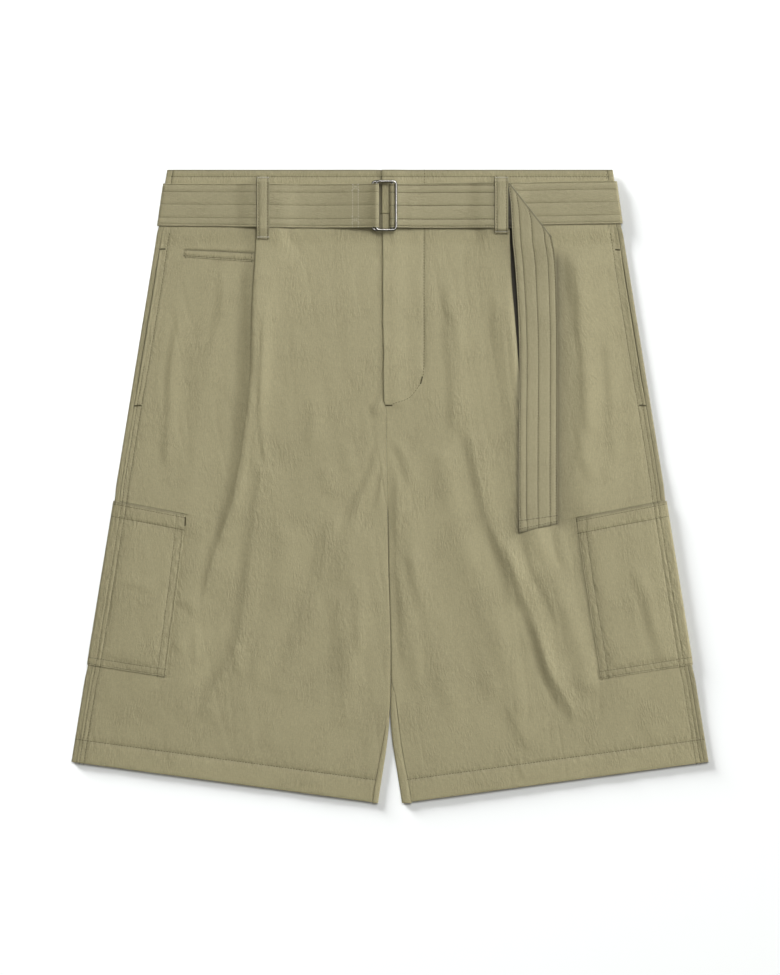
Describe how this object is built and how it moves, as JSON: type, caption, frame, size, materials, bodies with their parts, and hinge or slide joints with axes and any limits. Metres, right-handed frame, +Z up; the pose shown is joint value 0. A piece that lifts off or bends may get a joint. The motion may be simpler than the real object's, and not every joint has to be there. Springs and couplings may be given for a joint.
{
  "type": "pleated shorts",
  "caption": "Knee-length pleated shorts laid flat, with a self belt on wire rings, a hanging belt tail and cargo pockets round the outseams.",
  "frame": {"origin": "middle of the outline of the flat shorts, on the surface they lie on", "axes": "+Z up out of the front of the shorts, +Y towards the waist, +X towards the wearer's left leg"},
  "size_m": [0.5868, 0.5829, 0.0146],
  "materials": {
    "shell_cloth": "olive khaki plain weave with a crisp, lightly crinkled hand and a faint satin sheen",
    "belt_cloth": "the same cloth doubled and pressed, with rows of topstitching along it",
    "tonal_thread": "matte spun polyester thread, darker than the cloth",
    "pale_thread": "matte pale grey thread of the belt end's stitching and the loops' bartacks",
    "ring_steel": "polished round wire, bright silver"
  },
  "bodies": {
    "root": {"front_right": "shell_cloth", "front_left": "shell_cloth", "back_right": "shell_cloth", "back_left": "shell_cloth", "waistband_front_right": "shell_cloth", "waistband_front_left": "shell_cloth", "waistband_back": "shell_cloth", "cargo_right": "shell_cloth", "cargo_left": "shell_cloth", "coin_welt": "shell_cloth", "belt": "belt_cloth", "loop_front_right": "belt_cloth", "loop_front_left": "belt_cloth", "loop_back_right": "belt_cloth", "loop_back_middle": "belt_cloth", "loop_back_left": "belt_cloth", "ring_upper": "ring_steel", "ring_lower": "ring_steel"}
  },
  "joints": []
}
